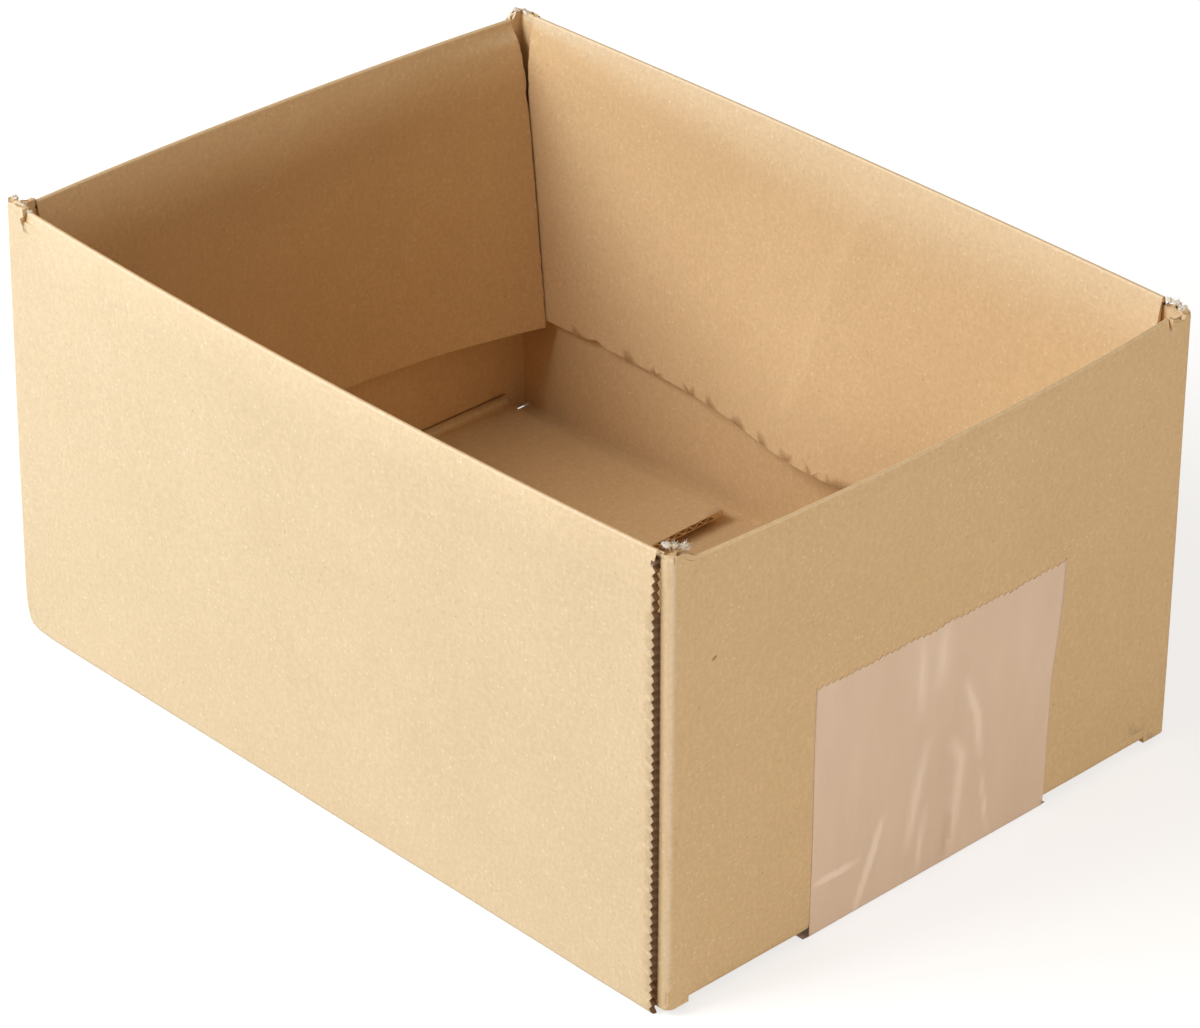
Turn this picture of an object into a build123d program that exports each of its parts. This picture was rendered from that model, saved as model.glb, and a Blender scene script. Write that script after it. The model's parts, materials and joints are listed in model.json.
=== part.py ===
from build123d import *
import os
from math import cos, exp, radians, sin

# A regular slotted carton of thin corrugated board, folded from one sheet.
# X runs along its length, Y across its width, Z up, with the origin under its middle.
# Its four top flaps are folded in and hang inside, and its bottom is closed and taped.
# Every size is in millimetres and every angle in degrees.

# The carton outside
length = 212.0
width = 158.0
long_fold = 109.4  # from the table to the fold over each long wall
end_fold = 107.5  # the end walls fold lower, so that their flaps close under the long ones
flap_reach = 79.0  # every flap, from the outside of its fold to its free edge

# The corrugated board: two liners with a waved paper between them
board = 1.7
liner = 0.28
flute_pitch = 3.6
crest = 0.4  # half of the strip that each wave is glued along
trough = 0.14  # the same strip on the wave's hollow side
wave_paper = 0.26
flute_margin = 1.0  # board left whole beside each cut edge

# The top folds: both boards are crushed to a sharp crown that stands over the gap between them
crown = 0.65  # its radius
crown_inset = 1.6  # its middle, in from the wall's outside
fold_gap = 0.4  # between a wall and the flap folded back against it
top_score = 4.0  # how far down the boards are crushed
lip_drop = 1.3  # from the crown's middle down to the wall's own edge

# The short bottom flaps' folds are round, because they turn only a quarter
bottom_gap = 0.4
bottom_score = 3.0
fold_clearance = 0.3  # between the round of the fold and the wall over it
foot_rise = 1.5  # from the middle of the fold up to the end wall's lower edge
foot_height = 1.6  # from the table up to the torn stubs beside those folds

# The creases between the walls and under the long walls, each the radius of its outside
crease_radius = 2.0
bottom_crease = 1.4

# How far each hanging flap leans in
front_lean = 2.6
back_lean = 0.2
end_lean = 2.5

# The back flap has bent along its flutes, so that its free edge bows in
bow_depth = 5.1
bow_reach = 32.0  # how far along the edge it fades, to each side of its middle
bow_middle = -5.0  # along the fold, which runs towards the left end wall
bow_points = 25  # that its curve passes through

# The slots between flaps, each from the outside of its corner
long_slot = 7.6
end_slot = 8.0
bottom_slot = 8.0
slot_clearance = 0.3  # between a flap's side and the stub of board beside it

# The stubs of board that stand between the slots, from the table to their torn tops
near_stub = 111.0
left_stub = 111.2
back_stub = 110.4
right_stub = 110.8
pocket_depth = 4.0  # how far the open flutes can be seen into

# The glued joint of the sheet at the near corner
joint_setback = 2.1  # the tips of the sawn edge of the long wall, in from the end wall's face
tooth_pitch = 2.05
tooth_depth = 0.75
tab_width = 32.0
tab_board = 0.8  # the tab is crushed where it is glued
tab_slant = 10.0
tab_drop = 14.0  # from the fold down to the tab
tab_foot = 8.0

# The closed bottom
seam = 0.8  # between the two long bottom flaps
flap_setback = 4.4  # the long bottom flaps' ends, in from the end walls' faces
rest_clearance = 0.15  # between the long bottom flaps and the short ones that lie on them

# The sealing tape, in one strip under the seam and up both end walls
tape = 0.12
tape_width = 76.0
tape_shift = 3.5  # its middle, off the seam
tape_front_height = 61.5
tape_back_height = 54.0
tape_bend = 1.2
tape_tooth = 1.9
tape_tooth_depth = 0.8

# What follows from the sizes above
flap_offset = board + board + fold_gap - crown_inset  # from a top fold's middle to the flap's inner side
bottom_radius = board + bottom_gap / 2
groove = bottom_radius + fold_clearance
tallest = max(near_stub, left_stub, back_stub, right_stub)
floor_top = tape + board
bottom_axis = floor_top + rest_clearance + bottom_radius
bottom_inset = bottom_radius + fold_clearance
bottom_flap_half = width / 2 - bottom_slot
joint_end = length / 2 - joint_setback  # the long wall's sawn edge
margin = 20.0  # how far a cutting shape runs past what it cuts


def flute_void(under_crest, slope=0.0):
    """One empty space of the board's section: under a crest of the wave, or else over its hollow.

    The slope is that of the board, where it has bent.
    """
    high = board / 2 - liner
    waist = high - wave_paper
    foot = flute_pitch / 2 - crest
    rise = foot * slope
    if not under_crest:
        high = -high
        waist = -waist
    Polygon((-trough, waist), (trough, waist), (foot, rise - high), (-foot, -rise - high), align=None)


def flute_voids(span):
    """The empty spaces of a board's section, span wide along X and as deep as the board along Y."""
    count = int((span - 2 * flute_margin) // flute_pitch)
    with GridLocations(flute_pitch, 0, count, 1):
        flute_void(under_crest=True)
    with GridLocations(flute_pitch, 0, count - 1, 1):
        flute_void(under_crest=False)


def bow(place):
    """How far the back flap's free edge has bowed in, at a place along its fold."""
    return bow_depth * exp(-(((place - bow_middle) / bow_reach) ** 2))


def bowed_board(hinge, span, offset, score, reach):
    """A flap's board that is straight at its fold and bowed at its free edge.

    Its flutes run straight from the one to the other, each with a lean of its own.
    """
    middle = board / 2 - offset
    places = [span * (step / (bow_points - 1) - 0.5) for step in range(bow_points)]
    count = int((span - 2 * flute_margin) // flute_pitch)
    hollows = []
    with BuildPart(mode=Mode.PRIVATE) as bent:
        with BuildSketch(hinge.offset(score)):
            with Locations((0, middle)):
                Rectangle(span, board)
        with BuildSketch(hinge.offset(score + reach)):
            with BuildLine():
                inner = Spline([(place, -offset - bow(place)) for place in places])
                outer = Spline([(place, board - offset - bow(place)) for place in places])
                Line(inner @ 0, outer @ 0)
                Line(inner @ 1, outer @ 1)
            make_face()
        loft(ruled=True)
        for number in range(2 * count - 1):
            place = (number - count + 1) * flute_pitch / 2
            slope = (bow(place - crest) - bow(place + crest)) / (4 * crest)
            way = hinge.z_dir * reach - hinge.y_dir * bow(place)
            with BuildSketch(hinge.offset(score), mode=Mode.PRIVATE) as void:
                with Locations((place, middle)):
                    flute_void(number % 2 == 0, slope)
            hollows.append(extrude(void.sketch, amount=2 * way.length, dir=way, mode=Mode.PRIVATE))
        add(hollows, mode=Mode.SUBTRACT)
    return bent.part


def flap(hinge, span, name, round_radius, offset, score, bowed=False, run_on=0.0):
    """A flap of fluted board on the round of its fold, crushed down to it over the score.

    The hinge plane stands on the fold's own axis: its X runs along the fold and its Z down the flap.
    The flap's far side lies at the offset from that axis. The fold may run on past the flap's end.
    """
    reach = flap_reach - round_radius - score
    with BuildPart() as made:
        if bowed:
            add(bowed_board(hinge, span, offset, score, reach))
        else:
            with BuildSketch(hinge.offset(score)):
                with Locations((0, board / 2 - offset)):
                    Rectangle(span, board)
                with BuildSketch(mode=Mode.PRIVATE) as voids:
                    flute_voids(span)
                with Locations((0, board / 2 - offset)):
                    add(voids.sketch, mode=Mode.SUBTRACT)
            extrude(amount=reach)
        side = Plane(origin=hinge.origin, x_dir=hinge.y_dir, z_dir=hinge.x_dir)
        near = board - offset
        with BuildSketch(side.offset(-span / 2)):
            Circle(round_radius)
            Polygon((-round_radius, 0), (-offset, score), (near, score), (near, 0), align=None)
        extrude(amount=span + run_on)
    made.part.label = name
    return made


def hanging_flap(fold, inward, lean, span, name, bowed=False, run_on=0.0):
    """A top flap folded down inside from the middle of its fold, leaning in towards the carton's middle."""
    along = Vector(inward).cross(Vector(0, 0, 1))
    down = Vector(inward) * sin(radians(lean)) - Vector(0, 0, cos(radians(lean)))
    hinge = Plane(origin=fold, x_dir=along, z_dir=down)
    return flap(hinge, span, name, crown, flap_offset, top_score, bowed, run_on)


# The top flaps, hanging inside. At the glued joint the fold of the front flap runs on to the sawn edge,
# and the flap itself is slotted like the others, so that it swings past the end flap beside it.
long_hinge = width / 2 - crown_inset
end_hinge = length / 2 - crown_inset
long_half = length / 2 - long_slot
end_half = width / 2 - end_slot
long_axis = long_fold - crown
end_axis = end_fold - crown
long_span = 2 * long_half
front_run = joint_end - slot_clearance - long_half
front_flap = hanging_flap(
    (0, -long_hinge, long_axis), (0, 1, 0), front_lean, long_span, "top_flap_front", run_on=front_run
)
back_flap = hanging_flap(
    (0, long_hinge, long_axis), (0, -1, 0), back_lean, long_span, "top_flap_back", bowed=True
)
right_flap = hanging_flap((end_hinge, 0, end_axis), (-1, 0, 0), end_lean, 2 * end_half, "top_flap_right")
left_flap = hanging_flap((-end_hinge, 0, end_axis), (1, 0, 0), end_lean, 2 * end_half, "top_flap_left")

# The short bottom flaps, lying on the long ones
bottom_hinge = length / 2 - bottom_inset
bottom_span = 2 * bottom_flap_half
left_floor = Plane(origin=(-bottom_hinge, 0, bottom_axis), x_dir=(0, 1, 0), z_dir=(1, 0, 0))
right_floor = Plane(origin=(bottom_hinge, 0, bottom_axis), x_dir=(0, -1, 0), z_dir=(-1, 0, 0))
bottom_left = flap(left_floor, bottom_span, "bottom_flap_left", bottom_radius, bottom_radius, bottom_score)
bottom_right = flap(right_floor, bottom_span, "bottom_flap_right", bottom_radius, bottom_radius, bottom_score)

# The walls of the carton, with the long bottom flaps that are taped shut
corner = board + crease_radius
with BuildPart() as carton:
    # the four walls as a plan: a ring that is open at the near corner, where the sheet is joined
    with BuildSketch():
        RectangleRounded(length, width, crease_radius)
        RectangleRounded(length - 2 * board, width - 2 * board, crease_radius - board, mode=Mode.SUBTRACT)
        with Locations((length / 2, -width / 2)):
            Rectangle(2 * corner, 2 * corner, mode=Mode.SUBTRACT)
        # the long wall runs on to its sawn edge
        with Locations((joint_end, -width / 2)):
            Rectangle(corner - joint_setback, board, align=(Align.MAX, Align.MIN))
    extrude(amount=tallest)

    # the end wall turns in behind the sawn edge as a crease
    turn = (length / 2 - crease_radius, crease_radius + board - width / 2)
    with BuildSketch():
        with Locations(turn):
            Circle(crease_radius)
            Circle(crease_radius - board, mode=Mode.SUBTRACT)
            Rectangle(2 * corner, 2 * corner, align=(Align.MAX, Align.CENTER), mode=Mode.SUBTRACT)
            Rectangle(2 * corner, 2 * corner, align=(Align.CENTER, Align.MIN), mode=Mode.SUBTRACT)
    extrude(amount=tallest)

    # and ends in the tab that is glued inside the long wall
    tab_top = long_fold - tab_drop
    tab_inside = Plane.XZ.offset(width / 2 - board)
    with BuildSketch(tab_inside):
        root = length / 2 - crease_radius
        Polygon(
            (root, tab_foot),
            (root, tab_top),
            (root - tab_width, tab_top - tab_slant),
            (root - tab_width, tab_foot + tab_slant),
            align=None,
        )
    extrude(amount=-tab_board)

    # the end walls stop at the bottom over the rounds of the short bottom flaps
    bottom_cut = bottom_flap_half + slot_clearance
    with BuildSketch(Plane.XZ.offset(-bottom_cut)):
        with Locations((bottom_hinge, bottom_axis), (-bottom_hinge, bottom_axis)):
            Circle(groove)
        with Locations((length / 2, 0), (-length / 2, 0)):
            Rectangle(2 * groove, bottom_axis + foot_rise, align=(Align.CENTER, Align.MIN))
    extrude(amount=2 * bottom_cut, mode=Mode.SUBTRACT)

    # and beside those rounds their stubs are torn off just over the table
    with BuildSketch():
        with Locations((length / 2, 0), (-length / 2, 0)):
            Rectangle(2 * crease_radius, 2 * width)
    extrude(amount=foot_height, mode=Mode.SUBTRACT)

    # the long bottom flaps meet at the seam
    floor_length = length - 2 * flap_setback
    floor_reach = width / 2 - seam / 2
    with BuildSketch(Plane.XY.offset(tape)):
        with Locations((0, width / 2), (0, -width / 2)):
            Rectangle(floor_length, 2 * floor_reach)
        Rectangle(length, seam, mode=Mode.SUBTRACT)
        with BuildSketch(mode=Mode.PRIVATE) as inside:
            Rectangle(length, width - 2 * bottom_crease)
        add(inside.sketch, mode=Mode.INTERSECT)
    extrude(amount=board)

    # each wall is crushed inward towards the crown of its fold, and ends just under it
    taper = crown_inset - crown
    long_reach = long_half + slot_clearance
    end_reach = end_half + slot_clearance
    crease_start = length / 2 - crease_radius
    for section, side, start, end, middle in (
        (Plane.YZ, -width / 2, -long_reach, crease_start, long_axis),
        (Plane.YZ, width / 2, -long_reach, long_reach, long_axis),
        (Plane.XZ, -length / 2, -end_reach, end_reach, end_axis),
        (Plane.XZ, length / 2, -end_reach, end_reach, end_axis),
    ):
        inward = -taper if side > 0 else taper
        with BuildSketch(section.offset(start)):
            with Locations((side, middle - lip_drop)):
                Rectangle(2 * (board + fold_gap), margin, align=(Align.CENTER, Align.MIN))
            Polygon((side, middle - top_score), (side, middle), (side + inward, middle), align=None)
        extrude(amount=end - start, mode=Mode.SUBTRACT)

    # the bottom folds of the long walls are rounded outside
    for side in (1, -1):
        with BuildSketch(Plane.YZ.offset(-length)):
            with Locations((side * width / 2, 0)):
                Rectangle(2 * bottom_crease, 2 * bottom_crease)
            with Locations((side * (width / 2 - bottom_crease), bottom_crease)):
                Circle(bottom_crease, mode=Mode.SUBTRACT)
                across = (Align.MAX if side > 0 else Align.MIN, Align.CENTER)
                Rectangle(margin, margin, align=across, mode=Mode.SUBTRACT)
                Rectangle(margin, margin, align=(Align.CENTER, Align.MIN), mode=Mode.SUBTRACT)
        extrude(amount=2 * length, mode=Mode.SUBTRACT)

    # each corner's stub is torn off at its own height, and its flutes are left open
    for side_x, side_y, top in (
        (1, -1, near_stub),
        (-1, -1, left_stub),
        (-1, 1, back_stub),
        (1, 1, right_stub),
    ):
        with BuildSketch(Plane.XY.offset(top)):
            with Locations((side_x * length / 2, side_y * width / 2)):
                Rectangle(margin, margin)
        extrude(amount=margin, mode=Mode.SUBTRACT)
        along = (end_slot - slot_clearance + crease_radius) / 2
        with BuildSketch(Plane.XY.offset(top - pocket_depth)):
            with BuildSketch(mode=Mode.PRIVATE) as open_flutes:
                with Locations((-flute_pitch / 4, 0)):
                    flute_void(under_crest=True)
                with Locations((flute_pitch / 4, 0)):
                    flute_void(under_crest=False)
            with Locations(Location((side_x * (length - board) / 2, side_y * (width / 2 - along), 0), 90)):
                add(open_flutes.sketch)
            if (side_x, side_y) != (1, -1):
                with Locations((side_x * (length / 2 - along), side_y * (width - board) / 2)):
                    add(open_flutes.sketch)
        extrude(amount=pocket_depth, mode=Mode.SUBTRACT)

    # the sawn edge of the long wall at the glued joint
    teeth = int(tallest // tooth_pitch)
    with BuildSketch(Plane.XZ.offset(width / 2 - board)):
        with Locations((joint_end, tallest / 2)):
            with GridLocations(0, tooth_pitch, 1, teeth):
                Polygon((0, tooth_pitch / 2), (-tooth_depth, 0), (0, -tooth_pitch / 2), align=None)
    extrude(amount=board, mode=Mode.SUBTRACT)
carton.part.label = "carton_body"

# The tape, torn off along a saw at both ends
with BuildPart() as sealing_tape:
    with BuildSketch(Plane.XZ.offset(-tape_shift - tape_width / 2)) as strip:
        Rectangle(length + 2 * tape, tape_front_height, align=(Align.CENTER, Align.MIN))
        fillet(strip.vertices().group_by(Axis.Y)[0], tape_bend + tape)
        with BuildSketch(mode=Mode.PRIVATE) as hollow:
            with Locations((0, tape)):
                Rectangle(length, 2 * tape_front_height, align=(Align.CENTER, Align.MIN))
            fillet(hollow.vertices().group_by(Axis.Y)[0], tape_bend)
        add(hollow.sketch, mode=Mode.SUBTRACT)
    extrude(amount=tape_width)
    with BuildSketch(Plane.XY.offset(tape_back_height)):
        with Locations((-length / 2, 0)):
            Rectangle(margin, 2 * width)
    extrude(amount=margin, mode=Mode.SUBTRACT)
    tears = int(tape_width // tape_tooth)
    for end, top in ((1, tape_front_height), (-1, tape_back_height)):
        with BuildSketch(Plane.YZ.offset(end * length / 2 - margin / 2)):
            with Locations((tape_shift, top)):
                with GridLocations(tape_tooth, 0, tears, 1):
                    Polygon((-tape_tooth / 2, 0), (0, -tape_tooth_depth), (tape_tooth / 2, 0), align=None)
        extrude(amount=margin, mode=Mode.SUBTRACT)
sealing_tape.part.label = "sealing_tape"

# Each piece to its own file
os.makedirs("parts", exist_ok=True)
for piece in (
    carton,
    sealing_tape,
    front_flap,
    back_flap,
    left_flap,
    right_flap,
    bottom_left,
    bottom_right,
):
    export_step(piece.part, f"parts/{piece.part.label}.step")
    print(piece.part.label, "volume", round(piece.part.volume, 1), "solids", len(piece.part.solids()))
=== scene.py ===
# %% [markdown]
# # An open cardboard box
# A carton is one sheet of corrugated board: two paper liners with a waved paper glued between them. It is
# scored, slotted, folded into a tube, glued at one corner, and taped shut underneath. The solid model gives
# the exact folds, flutes and teeth. This scene keeps those shapes and adds what handling does to paper: walls
# that bow, flaps that curl, dents, torn corners, a wrinkled strip of tape, and the look of kraft paper.

# %% Load the frame
import json
from math import copysign, cos, exp, pi, radians, sin, tan

import bmesh
import bpy
from mathutils import Matrix, Vector, noise


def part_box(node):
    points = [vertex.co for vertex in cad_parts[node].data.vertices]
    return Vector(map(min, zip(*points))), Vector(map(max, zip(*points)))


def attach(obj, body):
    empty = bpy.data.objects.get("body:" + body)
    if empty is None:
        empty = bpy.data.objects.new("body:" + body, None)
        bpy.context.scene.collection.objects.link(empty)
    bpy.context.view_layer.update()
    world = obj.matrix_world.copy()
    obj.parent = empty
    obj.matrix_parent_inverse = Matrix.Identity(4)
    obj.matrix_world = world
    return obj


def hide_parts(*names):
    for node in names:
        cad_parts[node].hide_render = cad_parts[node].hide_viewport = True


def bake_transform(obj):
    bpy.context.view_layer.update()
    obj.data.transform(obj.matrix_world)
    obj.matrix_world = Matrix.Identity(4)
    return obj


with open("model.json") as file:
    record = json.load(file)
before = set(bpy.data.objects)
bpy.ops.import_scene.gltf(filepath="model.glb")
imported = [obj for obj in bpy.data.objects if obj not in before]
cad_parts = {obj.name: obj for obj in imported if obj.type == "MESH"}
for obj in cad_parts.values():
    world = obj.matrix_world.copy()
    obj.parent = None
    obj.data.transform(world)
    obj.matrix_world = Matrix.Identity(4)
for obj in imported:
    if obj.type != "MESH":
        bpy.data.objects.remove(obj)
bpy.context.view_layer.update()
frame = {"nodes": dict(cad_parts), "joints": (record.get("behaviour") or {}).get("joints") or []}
nodes = frame["nodes"]
mm = 0.001
noise.seed_set(1795627732)  # or else the clock seeds the noise vectors, and no two runs tear the stubs alike
print("pieces in the frame:", sorted(nodes))

# %% [markdown]
# The sizes that the scene needs come out of the frame, so that a changed carton still fits. A hinge is where
# a fold's own axis lies, and the crown is the small round of that fold. The board's thickness and the strip
# that is crushed beside a fold are the solid model's own.

# %% Measure the carton
carton_low, carton_high = (Vector(corner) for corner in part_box("carton_body"))
half_length = (carton_high.x - carton_low.x) / 2
half_width = (carton_high.y - carton_low.y) / 2
top = carton_high.z
hinges = {joint["child"]: Vector(joint["pos_m"]) for joint in frame["joints"]}
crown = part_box("top_flap_front")[1][2] - hinges["front_flap"].z
long_fold = hinges["front_flap"].z
end_fold = hinges["left_flap"].z
board = 1.7 * mm
score = 4.0 * mm
print("half length, half width, top, crown in mm:", half_length / mm, half_width / mm, top / mm, crown / mm)

# %% [markdown]
# A carried-over mesh is loose triangles, many of them as long as a wall, and a long triangle can't bend. So
# each piece starts as a welded copy, and planes slice it into short steps along each axis. That keeps every
# tooth and flute where it is, which a remesh would smear.

# %% Weld, slice and finish a copy
axes = (Vector((1, 0, 0)), Vector((0, 1, 0)), Vector((0, 0, 1)))


def welded_copy(node):
    """A node's mesh as a bmesh of joined faces."""
    bm = bmesh.new()
    bm.from_mesh(nodes[node].data)
    bmesh.ops.remove_doubles(bm, verts=bm.verts, dist=0.002 * mm)
    return bm


def slice_at(bm, axis, places, wanted=None):
    """Cut the mesh across one axis at some places, or only the faces there that are wanted."""
    for place in places:
        if wanted:
            faces = [f for f in bm.faces if wanted(f)]
            geometry = [*{v for f in faces for v in f.verts}, *{e for f in faces for e in f.edges}, *faces]
        else:
            geometry = bm.verts[:] + bm.edges[:] + bm.faces[:]
        bmesh.ops.bisect_plane(
            bm, geom=geometry, dist=0.005 * mm, plane_co=axes[axis] * place, plane_no=axes[axis]
        )


def slice_through(bm, axis, step):
    """Cut the whole mesh across one axis at even steps."""
    places = [v.co[axis] for v in bm.verts]
    low, high = min(places), max(places)
    count = max(1, round((high - low) / step))
    slice_at(bm, axis, [low + (high - low) * cut / count for cut in range(1, count)])


def finished(bm, name, sharp=35):
    """The bmesh as an object, smooth except at its sharp edges."""
    mesh = bpy.data.meshes.new(name)
    bm.to_mesh(mesh)
    bm.free()
    mesh.shade_smooth()
    mesh.set_sharp_from_angle(angle=radians(sharp))
    piece = bpy.data.objects.new(name, mesh)
    bpy.context.scene.collection.objects.link(piece)
    print(name, "faces:", len(mesh.polygons))
    return piece


# %% [markdown]
# A carton that has been opened isn't a true box any more. Its corners are drawn in at the top, and each rim
# bows out between them, because the folded flap pushes on it. One function moves every point of the walls,
# and the flaps and the tape use it too, so that nothing parts from its neighbour. The end wall's rim also
# stands a little lower at the glued corner than at its other end.

# %% How the walls have relaxed
# how far each corner, named by the signs of its X and Y, is drawn in along X and along Y, in mm
corner_pull = {(-1, -1): (0.2, 1.4), (-1, 1): (0.0, 1.4), (1, 1): (0.1, 1.6), (1, -1): (2.0, 0.7)}
rim_bow = {"front": 3.2 * mm, "back": 1.7 * mm, "left": 2.8 * mm, "right": 3.7 * mm}
rim_tilt = 1.6 * mm
saw_from, saw_to = half_length - 3.1 * mm, half_length - 1.9 * mm  # the sawn edge's teeth, in X
joint_shift = 1.1 * mm  # the sawn edge lies further from the corner than in the solid
bow_starts, bow_full = 30 * mm, 10 * mm  # in from a wall


def ease(value, low, high):
    """0 below low, 1 above high, and a smooth rise between them."""
    share = min(1, max(0, (value - low) / (high - low)))
    return share * share * (3 - 2 * share)


def pull_between(number, first, second, along, half):
    """The pull in X (number 0) or Y (number 1), part of the way from a wall's first corner to its second."""
    share = min(1, max(0, 0.5 + along / (2 * half)))
    return corner_pull[first][number] * mm * (1 - share) + corner_pull[second][number] * mm * share


def relax(point, height=None):
    """Where a point of the straight carton lies once its walls have relaxed."""
    x, y, z = point
    side_x, side_y = (1 if x > 0 else -1), (1 if y > 0 else -1)
    level = max(z if height is None else height, 0)
    rise = (level / top) ** 1.3
    near_long = ease(abs(y), half_width - bow_starts, half_width - bow_full)
    near_end = ease(abs(x), half_length - bow_starts, half_length - bow_full)
    bow_y = rim_bow["front" if y < 0 else "back"] * (1 - (x / half_length) ** 2)
    bow_x = rim_bow["left" if x < 0 else "right"] * (1 - (y / half_width) ** 2)
    pull_x = pull_between(0, (side_x, -1), (side_x, 1), y, half_width)
    pull_y = pull_between(1, (-1, side_y), (1, side_y), x, half_length)
    move_x = side_x * near_end * rise * (bow_x - pull_x)
    move_y = side_y * near_long * rise * (bow_y - pull_y)
    move_z = 0
    in_front_board = y < board - half_width + 0.1 * mm
    if in_front_board and x > 0:
        before_saw = ease(x, half_length - 12 * mm, saw_from)
        move_x -= joint_shift * before_saw * (1 - ease(x, saw_to, saw_to + 0.6 * mm))
    if x > 0:
        inside_stubs = 1 - ease(abs(y), half_width - 8 * mm, half_width - 4 * mm)
        move_z = rim_tilt * near_end * inside_stubs * ease(level, 0.6 * top, top) * y / half_width
    return Vector((x + move_x, y + move_y, z + move_z))


def ripple(point, amount=0.12 * mm):
    """The slight unevenness of a wall of board, at right angles to it."""
    swell = amount * (noise.noise(point * 22) + 0.4 * noise.noise(point * 70))
    if abs(point.x) > half_length - 12 * mm:
        return Vector((swell, 0, 0))
    if abs(point.y) > half_width - 12 * mm:
        return Vector((0, swell, 0))
    return Vector((0, 0, 0))


for name, place in (("front", (0, -half_width, top)), ("near corner", (half_length, -half_width, top))):
    print("the", name, "has moved by, in mm:", (relax(Vector(place)) - Vector(place)) / mm)

# %% [markdown]
# At the back left corner the slot between the flaps is only half as wide as at the others, because the blade
# missed. So the end flap's side and the rim under it run further towards the corner, and the stub beside them
# is narrower. The same function moves the wall, the flap and the paper over the fold.

# %% The narrow slot
slot_side = half_width - 7.7 * mm
slot_shift = 3.6 * mm


def narrow_slot(point, whole=False):
    """How far a point near the back left slot moves towards the corner. A whole flap moves at any height."""
    x, y, z = point
    if x > 0 or y < 0:
        return 0
    before = ease(y, slot_side - 16 * mm, slot_side)
    after = min(1, max(0, (half_width - y) / (half_width - slot_side)))
    share = before if y < slot_side else after
    if not whole:
        up = ease(z, end_fold - 12 * mm, end_fold - 3 * mm)
        share *= up * ease(-x, half_length - 4 * mm, half_length - 2.5 * mm)
    return slot_shift * share


# %% [markdown]
# ## The walls
# The four walls, the taped bottom and the glued corner are one piece. The long wall ends at the glued corner
# in an edge cut by a saw-toothed blade, with the board's flutes under its pale liner. The material paints
# shade over that cut for the flutes' dark hollows, which the solid board doesn't have. Two attributes keep
# each point's place along that wall and its depth in it, as they were before the walls relaxed, and the
# material reads them to find the cut.

# %% Weld the walls
walls = welded_copy("carton_body")
cut_place = walls.verts.layers.float.new("cut_place")
cut_depth = walls.verts.layers.float.new("cut_depth")

# %% [markdown]
# Where the slotting blade has torn the stubs at the corners, the paper is ragged, so the stubs are cut more
# finely than the walls. Every slice costs faces everywhere it passes, so the fine ones take only the faces of
# a stub.

# %% Slice the walls
wall_step = 5 * mm
stub_reach = 12 * mm  # how far a stub's finer cuts go from its corner
stub_foot = end_fold - 1.0 * mm
stub_step = 0.7 * mm


def on_a_stub(face):
    """Whether a face lies on one of the four torn corners."""
    return all(
        v.co.z > stub_foot and abs(v.co.x) > half_length - stub_reach and abs(v.co.y) > half_width - stub_reach
        for v in face.verts
    )


def steps(low, high, step):
    """Even places between two ends, without the ends."""
    return [low + step * cut for cut in range(1, int((high - low) / step))]


for axis in range(3):
    slice_through(walls, axis, wall_step)
shoulder_rows = (2, 4, 5.5, 7, 8.5)  # mm below the end walls' fold
slice_at(walls, 2, [end_fold - drop * mm for drop in shoulder_rows])
slice_at(walls, 2, steps(stub_foot, top, stub_step), on_a_stub)
for axis, half in ((0, half_length), (1, half_width)):
    for side in (-1, 1):
        places = [side * place for place in steps(half - 9 * mm, half, stub_step)]
        slice_at(walls, axis, places, on_a_stub)
print("the walls have", len(walls.faces), "faces")

# %% [markdown]
# Under each rim the board is crushed over a few millimetres. The solid has that as a straight bevel, whose
# lower end would catch the light as a hard line. So the outer side moves to a curve that reaches further down
# and meets the wall without a bend.

# %% The shoulder under a rim
shoulder = 10 * mm
taper = 0.95 * mm  # how far a rim is crushed inward
least_crush = 0.03 * mm


def soften_shoulder(place):
    """How far a wall's outer side moves under its rim, to turn the straight bevel into a soft one."""
    for across, half, along, end, fold in (
        (1, half_width, 0, half_length - 7.2 * mm, long_fold),
        (0, half_length, 1, half_width - 7.6 * mm, end_fold),
    ):
        down = fold - place.z
        if across == 1 and place.y < 0 < place.x:
            end = half_length - 2 * mm  # here the front rim runs on to the sawn edge
        if not 0 < down < shoulder or abs(place[along]) > end:
            continue
        depth = half - abs(place[across])
        if depth > board:
            continue
        was = taper * max(0, 1 - down / score)
        front_left = across == 1 and place.x < 0 and place.y < 0
        fade = 1 - ease(abs(place[along]), end - 5 * mm, end) if front_left else 1
        want = max(taper * fade * (1 - down / shoulder) ** 2, min(was, least_crush))
        share = min(1, max(0, (board - depth) / (board - was)))
        outward = axes[across] if place[across] > 0 else -axes[across]
        return outward * (was - want) * share
    return Vector((0, 0, 0))


# %% [markdown]
# Now every point of the walls moves. The stubs' tops are crumpled by noise and pressed down, each by its own
# amount, since the blade tore them unevenly. The lower left corner has been knocked.

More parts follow.
